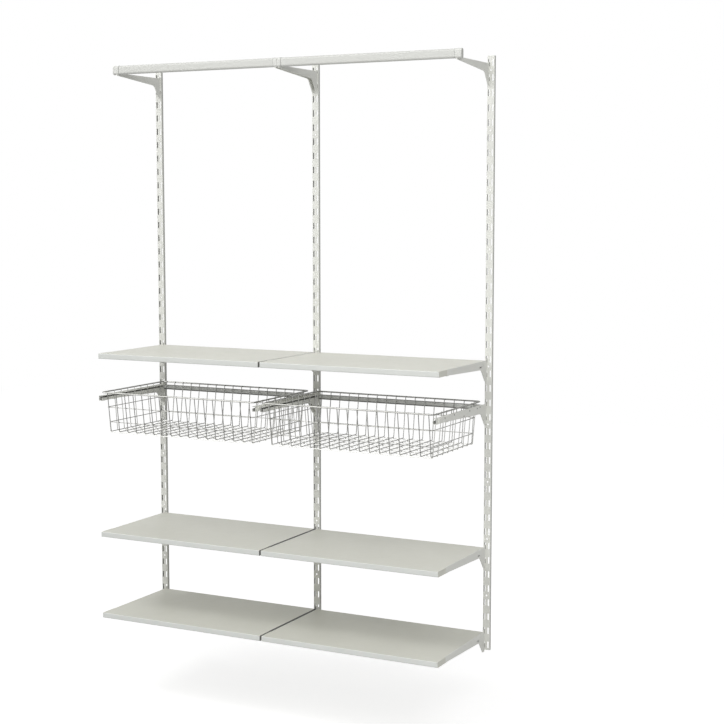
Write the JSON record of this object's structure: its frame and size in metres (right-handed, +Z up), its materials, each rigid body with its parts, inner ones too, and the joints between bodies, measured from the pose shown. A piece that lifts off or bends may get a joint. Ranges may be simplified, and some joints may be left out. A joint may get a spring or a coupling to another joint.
{
  "type": "wall-mounted open wardrobe",
  "caption": "White open wardrobe for a wall: slotted uprights carry bracket shelves, oval hanging rails and wire baskets that slide out on runners.",
  "frame": {"origin": "centre of the rectangle of the four outer wall screws, on the front face of the uprights where the screw heads sit; the wall is 11 mm behind it", "axes": "+Z up, +X to the right seen from the front, -Y out of the wall towards the user"},
  "size_m": [1.317, 0.405, 1.9668],
  "materials": {
    "steel": "satin white powder coat",
    "rail": "satin white powder coat",
    "wire": "glossy silver-grey coating on steel wire",
    "shelf": "board with a matt white foil",
    "plastic": "matt white plastic"
  },
  "bodies": {
    "frame": {"upright_left": "steel", "upright_middle": "steel", "upright_right": "steel", "shelf_top_left": "shelf", "bracket_top_left_left": "steel", "bracket_top_left_right": "steel", "shelf_middle_left": "shelf", "bracket_middle_left_left": "steel", "bracket_middle_left_right": "steel", "shelf_low_left": "shelf", "bracket_low_left_left": "steel", "bracket_low_left_right": "steel", "bracket_basket_left_left": "steel", "bracket_rail_left_left": "steel", "runner_left_left": "steel", "runner_stop_left_left": "plastic", "bracket_basket_left_right": "steel", "bracket_rail_left_right": "steel", "runner_left_right": "steel", "runner_stop_left_right": "plastic", "rail_left": "rail", "rail_caps_left": "plastic", "crossbar_left": "steel", "shelf_top_right": "shelf", "bracket_top_right_left": "steel", "bracket_top_right_right": "steel", "shelf_middle_right": "shelf", "bracket_middle_right_left": "steel", "bracket_middle_right_right": "steel", "shelf_low_right": "shelf", "bracket_low_right_left": "steel", "bracket_low_right_right": "steel", "bracket_basket_right_left": "steel", "bracket_rail_right_left": "steel", "runner_right_left": "steel", "runner_stop_right_left": "plastic", "bracket_basket_right_right": "steel", "bracket_rail_right_right": "steel", "runner_right_right": "steel", "runner_stop_right_right": "plastic", "rail_right": "rail", "rail_caps_right": "plastic", "crossbar_right": "steel"},
    "basket_left": {"rim_left": "wire", "depth_wires_left": "wire", "cross_wires_left": "wire", "hoops_left": "wire", "slide_left_left": "wire", "slide_left_right": "wire"},
    "basket_right": {"rim_right": "wire", "depth_wires_right": "wire", "cross_wires_right": "wire", "hoops_right": "wire", "slide_right_left": "wire", "slide_right_right": "wire"}
  },
  "joints": [
    {"name": "basket_left_slide", "type": "slide", "parent": "frame", "child": "basket_left", "axis": [0, -1, 0], "range_m": [0, 0.27]},
    {"name": "basket_right_slide", "type": "slide", "parent": "frame", "child": "basket_right", "axis": [0, -1, 0], "range_m": [0, 0.27]}
  ]
}
